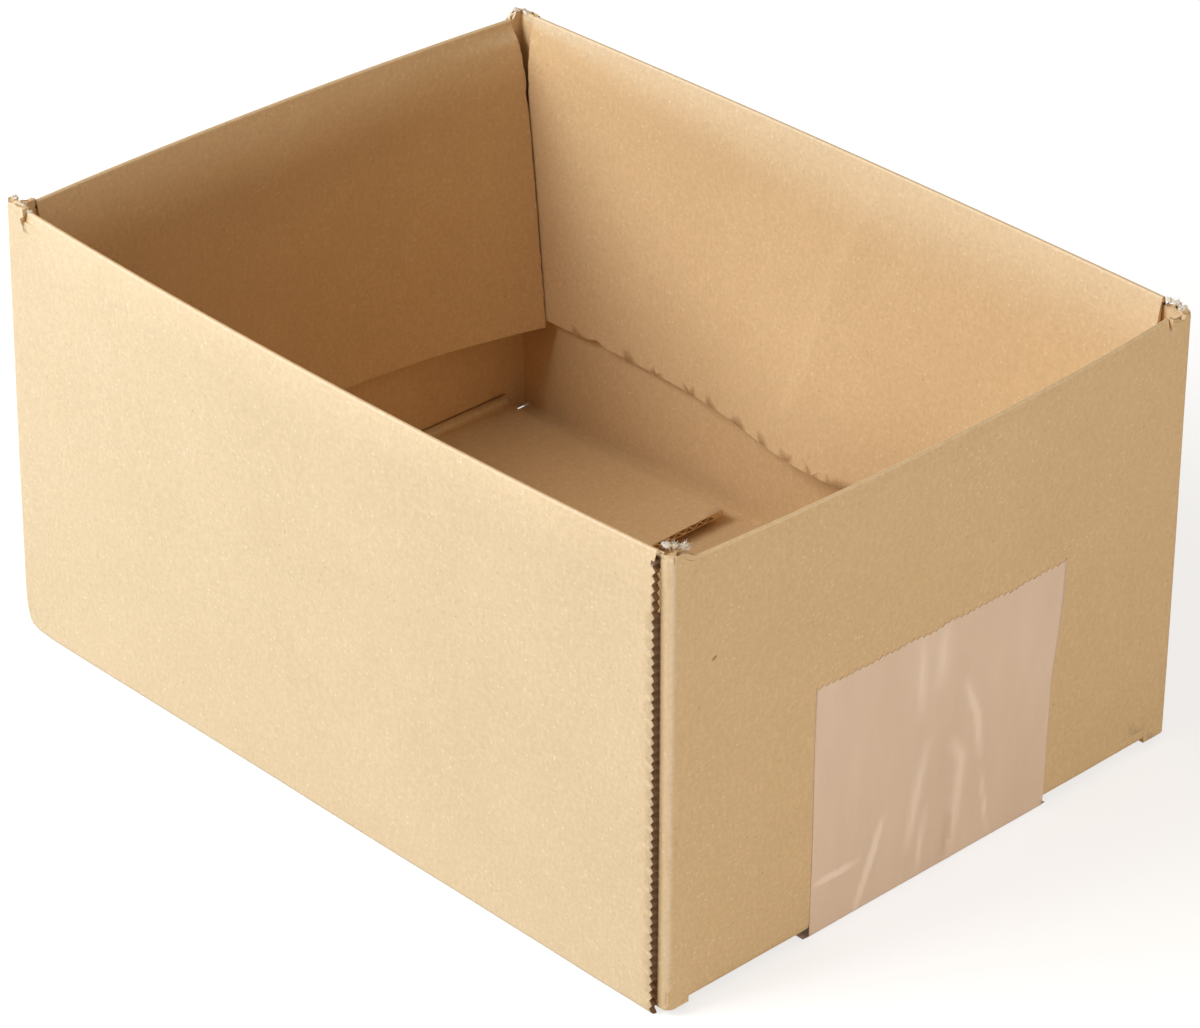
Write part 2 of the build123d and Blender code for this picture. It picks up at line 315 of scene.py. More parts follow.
# %% Shape the walls
# how far each stub is pressed down, in mm, and how much more on the end wall's side
stub_drop = {(1, -1): 1.9, (-1, -1): 0.8, (-1, 1): 1.2, (1, 1): 2.8}
end_drop = {(1, -1): 0.0, (-1, -1): 2.4, (-1, 1): 3.6, (1, 1): 0.0}
crumple, crumple_scale = 0.45 * mm, 900
bite, bite_scale = 0.7 * mm, 420
for v in walls.verts:
    place = v.co.copy()
    v[cut_place], v[cut_depth] = place.x, place.y + half_width
    soft = soften_shoulder(place)
    at_corner = abs(place.x) > half_length - stub_reach and abs(place.y) > half_width - stub_reach
    place.y += narrow_slot(place)
    v.co = relax(place) + ripple(place) + soft
    if at_corner and place.z > stub_foot:
        torn = ease(place.z, stub_foot + 0.8 * mm, top - 0.3 * mm)
        v.co += torn * crumple * noise.noise_vector(place * crumple_scale)
        v.co.z -= torn * bite * abs(noise.noise(place * bite_scale))
        corner = (1 if place.x > 0 else -1, 1 if place.y > 0 else -1)
        along_end = ease(half_width - abs(place.y), 1.5 * mm, 5 * mm)
        v.co.z -= torn * (stub_drop[corner] + end_drop[corner] * along_end) * mm

knock = Vector((-half_length, -half_width, 0))
knock_reach = 9 * mm


def knocked(point):
    """A point after the knock that has pushed the lower left corner in and up."""
    near = 1 - min(1, (point - knock).length / knock_reach)
    return point + near * near * Vector((0.9, 0.9, 0.9)) * mm


for v in walls.verts:
    v.co = knocked(v.co)

box_walls = finished(walls, "box_walls")
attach(box_walls, "carton")
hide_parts("carton_body")

# %% [markdown]
# ## The flaps
# Each top flap hangs from its fold and leans in. Board that was folded back springs a little: the flap over
# the back wall bellies in along its free edge, and the left one twists away from its wall towards the back
# corner. Handling has left creases. A crease is a line where the board is bent a few degrees, so each is made
# as a shallow ridge or furrow along a chain of points.

# %% Creases, curl and shoulder of a flap
flaps = {
    "front": ("top_flap_front", "front_flap", Vector((0, 1, 0)), 2.6),
    "back": ("top_flap_back", "back_flap", Vector((0, -1, 0)), 0.2),
    "left": ("top_flap_left", "left_flap", Vector((1, 0, 0)), 2.5),
    "right": ("top_flap_right", "right_flap", Vector((-1, 0, 0)), 2.5),
}
# each crease: a chain of (along, height) in mm, how high it stands in mm, and how wide to its two sides
creases = {
    "left": [
        (((-10.5, 105), (-9.2, 96), (-6.8, 84), (-5.9, 71), (-7.8, 58)), 0.50, 2.2, 7),
        (((10.5, 106), (7.6, 102), (4.6, 98), (-0.4, 93), (-6.8, 84)), 0.60, 1.6, 9),
        (((34, 106), (31, 102), (32.1, 87), (32.7, 70), (34.4, 55), (35.5, 42)), 0.55, 2.0, 10),
    ],
    "back": [
        (((15.9, 107), (7.7, 89.5), (3.1, 72), (-1.0, 55), (-4.7, 43), (-7.4, 28)), 0.45, 1.6, 9),
        (((-25.9, 92), (-28, 50)), 0.22, 2.5, 9),
    ],
    "front": [],
    "right": [(((12, 104), (9, 60)), 0.3, 3, 8)],
}
side_rag = 0.35 * mm


def crease_height(side, along, height):
    """How far the creases lift a flap's face at a point."""
    here = Vector((along, height)) / mm
    lift = 0
    for chain, tall, before, after in creases[side]:
        best = None
        for number in range(len(chain) - 1):
            a, b = Vector(chain[number]), Vector(chain[number + 1])
            share = min(1, max(0, (here - a).dot(b - a) / (b - a).length_squared))
            away = here - a - (b - a) * share
            if best is None or away.length < abs(best[0]):
                best = (copysign(away.length, away.x), (number + share) / (len(chain) - 1))
        gap, way = best
        width = before if gap < 0 else after
        fade = ease(way, 0, 0.15) * (1 - ease(way, 0.8, 1.0)) if way < 1 else 0
        lift += tall * mm * max(0, 1 - abs(gap) / width) * fade
    return lift


def curl(side, along, share):
    """How far a flap has sprung in from straight, share being the way down from its fold."""
    if side == "left":
        twist = min(1, max(0, (along + 10 * mm) / (85 * mm)))
        corner = max(0, along / (75 * mm)) ** 2
        way = corner * share**0.5 + (1 - corner) * share**1.4
        return (9.2 * mm * twist**3 - 0.8 * mm) * way * ease(share, 0, 0.06)
    if side == "back":
        return 3.6 * mm * share**1.8 * exp(-(((along - 8 * mm) / (38 * mm)) ** 2))
    return 0.8 * mm * share**2


def soft_root(out, down):
    """A place across the board, moved so that its visible side rounds softly out of the fold."""
    inner = board + 0.5 * mm
    was = crown + (inner - crown) * min(1, down / score)
    want = crown + (inner - crown) * (1 - (1 - min(1, down / (3 * score))) ** 2)
    outer = inner - board
    return outer + (out - outer) * (want - outer) / (was - outer) if down > 0 else out


# %% [markdown]
# A flap is sliced finely enough to bend, with closer rows at its root. Then each point moves by all of these:
# the rounded root, the creases, the curl, the ragged side beside a slot, and the way its wall has relaxed,
# which the flap follows fully at its fold.

# %% Shape the flaps
flap_step = 3 * mm
root_rows = (1, 2, 3, 5, 6.5, 8)  # mm below the fold
rag_depth, rag_width, rag_step = 75 * mm, 1.6 * mm, 1.3 * mm


def shape_flap(side):
    """A top flap as it hangs, from its node."""
    node, body, inward, lean = flaps[side]
    bm = welded_copy(node)
    hinge = hinges[body]
    run = 0 if inward.y else 1
    slope = tan(radians(lean))
    slice_through(bm, run, flap_step)
    slice_through(bm, 2, flap_step)
    slice_at(bm, 2, [hinge.z - drop * mm for drop in root_rows])
    low = min(v.co[run] for v in bm.verts)
    high = max(v.co[run] for v in bm.verts)
    rag_end = {"left": high, "back": low}.get(side)
    if rag_end is not None:
        rows = steps(hinge.z - rag_depth, hinge.z, rag_step)
        slice_at(bm, 2, rows, lambda f: abs(f.calc_center_median()[run] - rag_end) < rag_width)
    reach = hinge.z - min(v.co.z for v in bm.verts)
    for v in bm.verts:
        place = v.co.copy()
        down = max(0, hinge.z - place.z)
        share = down / reach
        along = place[run]
        out = (place - hinge).dot(inward) - down * slope
        place += inward * (soft_root(out, down) - out)
        lift = crease_height(side, along, place.z) * ease(share, 0.01, 0.08)
        if side == "left":
            place.y += narrow_slot(place, whole=True)
        if rag_end is not None and abs(along - rag_end) < 1.2 * mm:
            coarse = noise.noise(Vector((place.x, 0, place.z)) * 330)
            rag = coarse + 0.5 * noise.noise(Vector((0, 7, place.z)) * 900)
            place[run] += side_rag * rag * ease(share, 0.03, 0.1)
        if side == "back":
            notch = exp(-(((along + 75 * mm) / (2 * mm)) ** 2)) * ease(share, 0.96, 1)
            place.z += 1.2 * mm * notch
        v.co = relax(place, height=hinge.z)
        v.co.z = place.z + (v.co.z - place.z) * (1 - share)
        swell = 0.15 * mm * noise.noise(place * 30) * share
        v.co += inward * (curl(side, along, share) + lift + swell)
    piece = finished(bm, f"hanging_flap_{side}")
    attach(piece, body)
    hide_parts(node)
    return piece


hanging = {side: shape_flap(side) for side in flaps}

# %% [markdown]
# The two short bottom flaps lie loose on the long ones. The one in sight has its free edge curled up a little
# at one end, where its flutes show as a row of dark triangles.

# %% Shape the loose bottom flaps


def shape_floor_flap(node, body, name, lift, at):
    """A short bottom flap with one end of its free edge curled up by lift, at that side in Y."""
    bm = welded_copy(node)
    slice_through(bm, 0, 4 * mm)
    slice_through(bm, 1, 4 * mm)
    hinge = hinges[body]
    inward = copysign(1, -hinge.x)
    reach = max(abs(v.co.x - hinge.x) for v in bm.verts)
    for v in bm.verts:
        out = max(0, (v.co.x - hinge.x) * inward / reach)
        aside = ease(v.co.y * at, -10 * mm, half_width)
        v.co.z += lift * out**3 * aside + 0.12 * mm * out * (1 + noise.noise(v.co * 40))
    piece = finished(bm, name)
    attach(piece, body)
    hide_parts(node)
    return piece


floor_flap_left = shape_floor_flap("bottom_flap_left", "left_floor_flap", "floor_flap_left", 1.8 * mm, 1)
floor_flap_right = shape_floor_flap("bottom_flap_right", "right_floor_flap", "floor_flap_right", 0.8 * mm, -1)

# %% [markdown]
# ## The paper over the folds
# In the solid model a flap's fold turns just clear of its wall, because rigid parts can't bend. On the real
# box the outer liner runs on over the crown from the wall to the flap. So each fold gets a strip of paper:
# its section is part of a circle spun round the hinge, with a straight run at each end, and it reaches from
# the wall to the flap.

# %% Cover the folds
cover_gap, cover_thick = 0.03 * mm, 0.18 * mm
strip_step, turn_steps = 4 * mm, 10


def paper_strip(start, foot, first, axis, turn, tail, run, length):
    """A bmesh strip: from foot to first, round the start, and on by tail, drawn out along run."""
    bm = bmesh.new()
    low = bm.verts.new(start + foot)
    shoulder_point = bm.verts.new(start + first)
    bm.edges.new((low, shoulder_point))
    spun = bmesh.ops.spin(
        bm,
        geom=[shoulder_point],
        cent=start,
        axis=axis,
        angle=radians(turn),
        steps=turn_steps,
        use_merge=False,
    )
    last = spun["geom_last"][0]
    end = bm.verts.new(last.co + tail)
    bm.edges.new((last, end))
    count = round(length / strip_step)
    row = bm.edges[:]
    for _ in range(count):
        grown = bmesh.ops.extrude_edge_only(bm, edges=row)["geom"]
        moved = [g for g in grown if isinstance(g, bmesh.types.BMVert)]
        bmesh.ops.translate(bm, verts=moved, vec=run * length / count)
        row = [g for g in grown if isinstance(g, bmesh.types.BMEdge)]
    bmesh.ops.recalc_face_normals(bm, faces=bm.faces)
    return bm


def fold_cover(side):
    """The strip of liner over one top fold."""
    node, body, inward, _ = flaps[side]
    hinge = hinges[body]
    low, high = (Vector(corner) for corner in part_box(node))
    along = 0 if inward.y else 1
    run = Vector((1 - along, along, 0))
    radius = crown + cover_gap
    down = 1.6 * mm
    slope = taper / score
    start = hinge + run * (low[along] - hinge[along])
    turning = -inward.cross(Vector((0, 0, 1))).normalized()
    bm = paper_strip(
        start,
        -inward * (radius + slope * down) - Vector((0, 0, down)),
        -inward * radius,
        turning,
        180,
        inward * 0.1 * mm - Vector((0, 0, 0.4 * mm)),
        run,
        high[along] - low[along],
    )
    top_face = max(bm.faces, key=lambda f: f.calc_center_median().z)
    if top_face.normal.z < 0:
        bmesh.ops.reverse_faces(bm, faces=bm.faces)
    bmesh.ops.solidify(bm, geom=bm.faces[:], thickness=cover_thick)
    piece = finished(bm, f"fold_paper_{side}", sharp=60)
    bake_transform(piece)
    # the fold has relaxed with its wall: the strip moves as the wall's rim and the flap's root do
    for v in piece.data.vertices:
        place = v.co.copy()
        if side == "left":
            place.y += narrow_slot(place, whole=True)
        v.co = relax(place, height=hinge.z)
    return piece


covers = {side: fold_cover(side) for side in flaps}

# %% [markdown]
# The folds under the end walls turn only a quarter. Their paper starts level with the wall's face, goes round
# the bottom edge, and ends under the loose flap, just short of the taped one. It is longer than the flap is
# wide, so that it also closes the corners beside it.

# %% Cover the bottom folds
past_flap = 6.3 * mm


def floor_cover(side, body):
    """The strip of liner round one bottom fold."""
    hinge = hinges[body]
    outward = Vector((copysign(1, hinge.x), 0, 0))
    radius = half_length - abs(hinge.x) - 0.02 * mm
    half_run = Vector(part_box("bottom_flap_" + side)[1]).y + past_flap
    start = Vector((hinge.x, -half_run, hinge.z))
    bm = paper_strip(
        start,
        outward * radius + Vector((0, 0, 2.2 * mm)),
        outward * radius,
        outward.cross(Vector((0, 0, -1))).normalized(),
        90,
        -outward * 1.6 * mm,
        Vector((0, 1, 0)),
        2 * half_run,
    )
    low_face = min(bm.faces, key=lambda f: f.calc_center_median().z)
    if low_face.normal.z > 0:
        bmesh.ops.reverse_faces(bm, faces=bm.faces)
    bmesh.ops.solidify(bm, geom=bm.faces[:], thickness=0.15 * mm)
    piece = finished(bm, f"fold_paper_floor_{side}", sharp=60)
    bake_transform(piece)
    for v in piece.data.vertices:
        v.co = knocked(relax(v.co) + ripple(v.co))
    return piece


floor_covers = [floor_cover("left", "left_floor_flap"), floor_cover("right", "right_floor_flap")]

# %% [markdown]
# ## The tape
# Packing tape is a film 0.1 mm thick. It has the strip's shape from the solid model, cut finely enough to
# take wrinkles. A wrinkle is a narrow ridge where the film didn't stick, and it shows as a pale streak, so
# its strength is kept in an attribute for the finish.

# %% Lay the tape
tape_step = 1.3 * mm
# each wrinkle on the end wall: a chain of (y, z), how high, how wide and how pale
wrinkles = [
    (((-22.1, 1.5), (-17.1, 14.5), (-15.1, 21.4)), 0.34, 0.8, 1.0),
    (((-34.9, 13.7), (-28.2, 13.5), (-21.2, 14.0)), 0.16, 0.45, 0.9),
    (((9.0, 45.0), (13.3, 35.0), (15.3, 23.0)), 0.26, 0.9, 0.6),
    (((15.6, 20.0), (19.0, 2.0)), 0.18, 0.6, 0.5),
    (((6.0, 31.5), (9.0, 26.0), (8.1, 12.7), (7.2, 1.0)), 0.30, 1.5, 0.55),
    (((5.7, 13.5), (5.5, 7.0), (4.0, 1.0)), -0.10, 0.8, -0.5),
    (((-2.2, 34.5), (-4.1, 26.0), (-5.9, 15.0), (-6.7, 8.0)), 0.22, 1.3, 0.5),
    (((-1.8, 18.0), (-3.3, 1.0)), 0.22, 0.8, 0.5),
    (((-5.7, 62.0), (-4.6, 42.0)), 0.10, 1.2, 0.35),
    (((1.5, 62.0), (0.5, 46.0)), 0.10, 1.6, 0.35),
]
tape_low, tape_high = (Vector(corner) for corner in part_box("sealing_tape"))
tape_slip = -2.4 * mm  # the strip has run a little askew on this end
tape_stretch = 1.03  # and reaches a little higher
far_top = 54 * mm  # where it ends on the other wall


def wrinkle_at(y, z):
    """How far the film stands off the end wall at a point, and how pale it is there."""
    height, pale = 0, 0
    here = Vector((y, z)) / mm
    for chain, tall, wide, light in wrinkles:
        for number in range(len(chain) - 1):
            a, b = Vector(chain[number]), Vector(chain[number + 1])
            share = min(1, max(0, (here - a).dot(b - a) / (b - a).length_squared))
            away = (here - a - (b - a) * share).length / wide
            way = (number + share) / (len(chain) - 1)
            strength = exp(-away * away) * sin(pi * min(0.95, max(0.03, 0.1 + 0.85 * way)))
            if abs(tall * mm * strength) > abs(height):
                height = tall * mm * strength
            if abs(light * strength) > abs(pale):
                pale = light * strength
    return height, pale


film = welded_copy("sealing_tape")
slice_through(film, 1, tape_step)
slice_through(film, 2, tape_step)
slice_through(film, 0, 6 * mm)
streak = film.verts.layers.float.new("streak")
for v in film.verts:
    place = v.co.copy()
    slip = tape_slip * ease(place.x, 0, half_length)
    on_end = place.x > half_length - 0.5 * mm
    if on_end:
        place.z *= tape_stretch
        right = ease(place.y, 10 * mm, tape_high.y)
        slip += right * (-1.8 + 1.9 * ease(place.z, 30 * mm, 56 * mm)) * mm
        slip -= (1 - ease(place.y, tape_low.y, 0)) * (0.9 * ease(place.z, 15 * mm, 60 * mm) - 0.9) * mm
    place.y += slip
    v.co = relax(place) + ripple(place)
    if on_end:
        height, pale = wrinkle_at(place.y, place.z)
        v.co.x += max(height, 0) + 0.02 * mm
        v[streak] = pale
    if abs(place.x) > half_length - 0.5 * mm:
        end_top = tape_high.z * tape_stretch if place.x > 0 else far_top
        rag = ease(place.z, end_top - 2.5 * mm, end_top)
        v.co.z += rag * 0.9 * mm * (noise.noise(Vector((0, place.y * 160, 3))) - 0.3)
tape_strip = finished(film, "tape_strip", sharp=50)
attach(tape_strip, "carton")
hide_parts("sealing_tape")

# %% [markdown]
# ## Torn paper at the corners
# Torn board shows the pale, felty inside of its paper. Each torn place gets a small flattened lump with short
# fibres standing out of it. A fibre is a thin three-sided spike, which is enough at this size. The noise has
# a fixed seed and is read at fixed places, so every run grows the same tufts.

# %% Make the tufts
# each tuft: place in mm, its size along X, Y and Z in mm, and how many fibres
near, far = half_width / mm, half_length / mm
tufts = [
    ((far - 2.0, -near + 2.2, 110.9), (1.0, 0.7, 0.5), 26),
    ((far - 1.4, -near + 3.6, 110.6), (0.6, 0.9, 0.45), 22),
    ((far - 1.3, -near + 5.8, 110.5), (0.55, 1.0, 0.45), 24),
    ((far - 1.4, -near + 6.9, 110.1), (0.5, 0.7, 0.5), 16),
    ((-far + 1.8, -near + 2.0, 110.4), (1.0, 0.6, 0.4), 20),
    ((-far + 5.2, -near + 1.3, 110.2), (1.3, 0.5, 0.35), 22),
    ((-far + 7.6, -near + 1.5, 109.4), (1.2, 0.5, 0.35), 22),
    ((far - 1.6, near - 2.2, 109.3), (0.8, 1.0, 0.45), 24),
    ((far - 4.0, near - 1.2, 109.2), (1.2, 0.6, 0.4), 24),
    ((far - 6.2, near - 1.2, 109.0), (0.8, 0.5, 0.4), 16),
    ((-far + 1.6, near - 1.9, 109.2), (0.8, 0.8, 0.4), 20),
    ((-far + 4.0, near - 1.2, 109.1), (1.2, 0.5, 0.35), 20),
    ((-far + 2.8, -near + 2.2, 1.4), (1.3, 1.0, 0.6), 20),
]
fluff = bmesh.new()
for number, (place, size, fibres) in enumerate(tufts):
    centre = relax(Vector(place) * mm)
    lump = bmesh.ops.create_icosphere(fluff, subdivisions=3, radius=1 * mm)["verts"]
    for v in lump:
        shove = noise.noise_vector(v.co * 1500 + Vector((number * 9, 0, 0)))
        v.co += shove * 0.55 * mm
    bmesh.ops.scale(fluff, verts=lump, vec=size)
    bmesh.ops.translate(fluff, verts=lump, vec=centre)
    for fibre in range(fibres):
        seed = Vector((number * 3.7, fibre * 1.3, 0.5))
        out = noise.noise_vector(seed) + Vector((0, 0, 0.12))
        out.normalize()
        root = centre + Vector([a * b * 0.7 * mm for a, b in zip(out, size)])
        length = (0.7 + 0.6 * noise.noise(seed + Vector((5, 5, 5)))) * mm
        turn = out.to_track_quat("Z", "Y").to_matrix().to_4x4()
        bmesh.ops.create_cone(
            fluff,
            cap_ends=True,
            cap_tris=True,
            segments=3,
            radius1=0.09 * mm,
            radius2=0.02 * mm,
            depth=length,
            matrix=Matrix.Translation(root + out * length / 2) @ turn,
        )
torn_paper = finished(fluff, "torn_paper", sharp=80)
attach(torn_paper, "carton")

# %% [markdown]
# ## Kraft paper
# Brown kraft is unbleached fibre: a warm tan that clouds slightly over centimetres, carries fine fibres and
# pale and dark flecks, and shows the flutes under it as faint stripes. These effects are one node group, so
# that the outside, the torn paper and the sawn edge share them. It reads Object coordinates, in metres.

# %% Node helpers


def add_node(tree, kind, place, **values):
    """A node with its settings and its inputs' values."""
    node = tree.nodes.new(kind)
    node.location = place
    for name, value in values.items():
        if hasattr(node, name):
            setattr(node, name, value)
        else:
            node.inputs[name.replace("_", " ")].default_value = value
    return node


def join(tree, value, socket):
    """Link a socket to an input, or set the input to a plain value."""
    if isinstance(value, bpy.types.NodeSocket):
        tree.links.new(value, socket)
    else:
        socket.default_value = value


def new_group(name, inputs, outputs):
    """A shader node group with named sockets, and its input and output nodes."""
    tree = bpy.data.node_groups.new(name, "ShaderNodeTree")
    for socket, kind, value in inputs:
        made = tree.interface.new_socket(socket, in_out="INPUT", socket_type=kind)
        made.default_value = value
    for socket, kind in outputs:
        tree.interface.new_socket(socket, in_out="OUTPUT", socket_type=kind)
    enter = tree.nodes.new("NodeGroupInput")
    leave = tree.nodes.new("NodeGroupOutput")
    enter.location, leave.location = (-1200, 0), (1100, 0)
    return tree, enter, leave


def mix_colour(tree, place, factor, first, second):
    """A colour mix whose inputs may be sockets or plain values."""
    node = add_node(tree, "ShaderNodeMix", place, data_type="RGBA")
    for number, value in ((0, factor), (6, first), (7, second)):
        join(tree, value, node.inputs[number])
    return node.outputs[2]


def maths(tree, place, operation, first, second=0.5):
    """A maths node whose inputs may be sockets or plain values."""
    node = add_node(tree, "ShaderNodeMath", place, operation=operation)
    join(tree, first, node.inputs[0])
    join(tree, second, node.inputs[1])
    return node.outputs[0]


def spread(tree, place, value, low, high, to_low=0.0, to_high=1.0):
    """A value mapped from one range to another, held at its ends."""
    made = add_node(tree, "ShaderNodeMapRange", place)
    for number, end in enumerate((low, high, to_low, to_high), start=1):
        made.inputs[number].default_value = end
    tree.links.new(value, made.inputs[0])
    return made.outputs[0]


def stretched_noise(tree, place, where, scale, detail, stretch=(1, 1, 1), turn=(0, 0, 0)):
    """A noise read from coordinates that may be stretched and turned first."""
    mapping = add_node(tree, "ShaderNodeMapping", (place[0] - 200, place[1]), Scale=stretch, Rotation=turn)
    tree.links.new(where, mapping.inputs["Vector"])
    made = add_node(tree, "ShaderNodeTexNoise", place, Scale=scale, Detail=detail, Roughness=0.6)
    tree.links.new(mapping.outputs[0], made.inputs["Vector"])
    return made.outputs[0]


# %% [markdown]
# The group starts with the tone: clouds over centimetres, mottle over a millimetre, and fibres, each a noise
# at its own scale. The fibres are the same noise stretched in two directions.

# %% The tone of the paper
kraft_group, kraft_in, kraft_out = new_group(
    "Kraft paper",
    [
        ("Light", "NodeSocketColor", (0.76, 0.54, 0.31, 1)),
        ("Dark", "NodeSocketColor", (0.68, 0.46, 0.25, 1)),
        ("Flecks", "NodeSocketFloat", 0.5),
        ("Washboard", "NodeSocketFloat", 0.2),
    ],
    [("Color", "NodeSocketColor"), ("Roughness", "NodeSocketFloat"), ("Normal", "NodeSocketVector")],
)
kt, kl = kraft_group, kraft_group.links
where = add_node(kt, "ShaderNodeTexCoord", (-1200, -300))
spot = where.outputs["Object"]
clouds = stretched_noise(kt, (-800, 500), spot, 34, 4)
mottle = stretched_noise(kt, (-800, 300), spot, 1000, 4)
grain = stretched_noise(kt, (-800, 100), spot, 1900, 3)
fibre_a = stretched_noise(kt, (-800, -100), spot, 1500, 2, stretch=(0.35, 0.35, 1.4), turn=(0.3, 0.2, 0))
fibre_b = stretched_noise(kt, (-800, -300), spot, 1300, 2, stretch=(1, 1, 0.3), turn=(0.4, 0.5, 0.3))
fibres = maths(kt, (-720, -50), "MAXIMUM", fibre_a, fibre_b)
tone = maths(kt, (-500, 450), "MULTIPLY", spread(kt, (-650, 500), clouds, 0.32, 0.68), 0.18)
for value, low, high, weight in ((mottle, 0.35, 0.65, 0.42), (fibres, 0.52, 0.74, 0.40)):
    part = maths(kt, (-500, 300), "MULTIPLY", spread(kt, (-650, 300), value, low, high), weight)
    tone = maths(kt, (-350, 400), "ADD", tone, part)
base = mix_colour(kt, (0, 400), tone, kraft_in.outputs["Dark"], kraft_in.outputs["Light"])

# %% [markdown]
# Flecks are the middles of small cells, a few of them pale and fewer dark. Creases are paler, partly as rubbed
# wear and partly as a painted highlight on the crowns and slanted roots. Both are found from the normal: on a
# rounded edge it lies between the walls' own directions.

# %% Flecks, and worn creases with a painted highlight
fleck = add_node(kt, "ShaderNodeTexVoronoi", (-800, -520), Scale=850, Randomness=1.0)
kl.new(spot, fleck.inputs["Vector"])
pick = add_node(kt, "ShaderNodeSeparateColor", (-620, -600))
kl.new(fleck.outputs["Color"], pick.inputs[0])
fleck_round = spread(kt, (-620, -450), fleck.outputs["Distance"], 0.10, 0.34, 1, 0)
coloured = base
for channel, low, high, strength, colour in (
    (0, 0.78, 0.95, 0.75, (0.92, 0.78, 0.58, 1)),
    (1, 0.90, 0.99, 0.60, (0.36, 0.22, 0.11, 1)),
):
    some = spread(kt, (-450, -600 - 200 * channel), pick.outputs[channel], low, high, 0, strength)
    mask = maths(kt, (-300, -500 - 200 * channel), "MULTIPLY", fleck_round, some)
    mask = maths(kt, (-150, -500 - 200 * channel), "MULTIPLY", mask, kraft_in.outputs["Flecks"])
    coloured = mix_colour(kt, (200, 300 - 100 * channel), mask, coloured, colour)
facing = add_node(kt, "ShaderNodeSeparateXYZ", (-620, -1000))
kl.new(where.outputs["Normal"], facing.inputs[0])
sides = [maths(kt, (-450, -1000 - 120 * i), "ABSOLUTE", facing.outputs[i]) for i in range(3)]
most = maths(kt, (-300, -1050), "MAXIMUM", maths(kt, (-380, -1000), "MAXIMUM", sides[0], sides[1]), sides[2])
# paler on rounded crowns and slanted roots: partly rubbed wear, partly a painted highlight
rubbed_and_highlit = spread(kt, (-150, -1050), most, 0.95, 0.75)
rubbed_and_highlit = maths(kt, (0, -1000), "MULTIPLY", rubbed_and_highlit, spread(kt, (-150, -1200), mottle, 0.25, 0.6, 0.25, 0.6))
coloured = mix_colour(kt, (520, 200), rubbed_and_highlit, coloured, (0.86, 0.70, 0.49, 1))
kl.new(coloured, kraft_out.inputs["Color"])

# %% [markdown]
# The flutes under the liner run up the walls, so they stripe X on the long walls and Y on the end walls. They
# and the grain are bump only, far finer than a millimetre.

# %% Relief of the paper
split = add_node(kt, "ShaderNodeSeparateXYZ", (-620, -1400))
kl.new(spot, split.inputs[0])
on_end_wall = maths(kt, (-300, -1400), "GREATER_THAN", sides[0], 0.6)
across = add_node(kt, "ShaderNodeMix", (-150, -1400), data_type="FLOAT")
for number, value in ((0, on_end_wall), (2, split.outputs[0]), (3, split.outputs[1])):
    kl.new(value, across.inputs[number])
flute_pitch = 3.6 * mm
wave = maths(kt, (0, -1400), "MULTIPLY", across.outputs[0], 2 * pi / flute_pitch)
stripes = maths(kt, (150, -1400), "SINE", wave)
relief = maths(kt, (300, -1400), "MULTIPLY", stripes, kraft_in.outputs["Washboard"])
for value, weight in ((mottle, 0.9), (grain, 0.5), (fibres, 0.6)):
    relief = maths(kt, (450, -950), "ADD", relief, maths(kt, (300, -900), "MULTIPLY", value, weight))
bump = add_node(kt, "ShaderNodeBump", (700, -700), Strength=0.4, Distance=0.06 * mm)
kl.new(relief, bump.inputs["Height"])
kl.new(bump.outputs[0], kraft_out.inputs["Normal"])
kl.new(spread(kt, (500, -300), mottle, 0.3, 0.7, 0.62, 0.78), kraft_out.inputs["Roughness"])

# %% [markdown]
# The finishes: the same paper for walls, flaps and folds, and a paler felty one for torn places. The first
# also finds the sawn edge from the walls' two attributes and paints shade over the cut under its liner and the
# tab just behind it, for the flutes' dark hollows. On the other pieces these are zero, so nothing there gets
# this painted shade. One brown shive, a splinter of bark, lies in the end wall.

# %% The board's finish


def paper_material(name, light, dark, flecks, washboard):
    """A finish of kraft paper, and its tree, shader and group."""
    material = bpy.data.materials.new(name)
    material.use_nodes = True
    tree = material.node_tree
    shader = tree.nodes["Principled BSDF"]
    shader.inputs["Specular IOR Level"].default_value = 0.4
    paper = add_node(tree, "ShaderNodeGroup", (-400, 0), node_tree=kraft_group)
    for socket, value in (("Light", light), ("Dark", dark), ("Flecks", flecks), ("Washboard", washboard)):
        paper.inputs[socket].default_value = value
    tree.links.new(paper.outputs["Color"], shader.inputs["Base Color"])
    tree.links.new(paper.outputs["Roughness"], shader.inputs["Roughness"])
    tree.links.new(paper.outputs["Normal"], shader.inputs["Normal"])
    return material, tree, shader, paper


kraft_light, kraft_dark = (0.81, 0.57, 0.325, 1), (0.67, 0.455, 0.238, 1)
kraft, tree, shader, paper = paper_material("kraft_liner", kraft_light, kraft_dark, 0.6, 0.15)
cut_place = add_node(tree, "ShaderNodeAttribute", (-900, 300), attribute_name="cut_place")
place = add_node(tree, "ShaderNodeTexCoord", (-1100, -200))
depth = add_node(tree, "ShaderNodeAttribute", (-900, 50), attribute_name="cut_depth")
from_liner = spread(tree, (-550, -150), depth.outputs["Fac"], 0.2 * mm, 0.4 * mm)
to_tab = spread(tree, (-550, 0), depth.outputs["Fac"], 2.0 * mm, 2.1 * mm, 1, 0)
from_teeth = spread(tree, (-550, 150), cut_place.outputs["Fac"], saw_from - 0.3 * mm, saw_from - 0.2 * mm)
to_corner = spread(tree, (-550, 300), cut_place.outputs["Fac"], saw_to - 0.2 * mm, saw_to + 0.1 * mm, 1, 0)
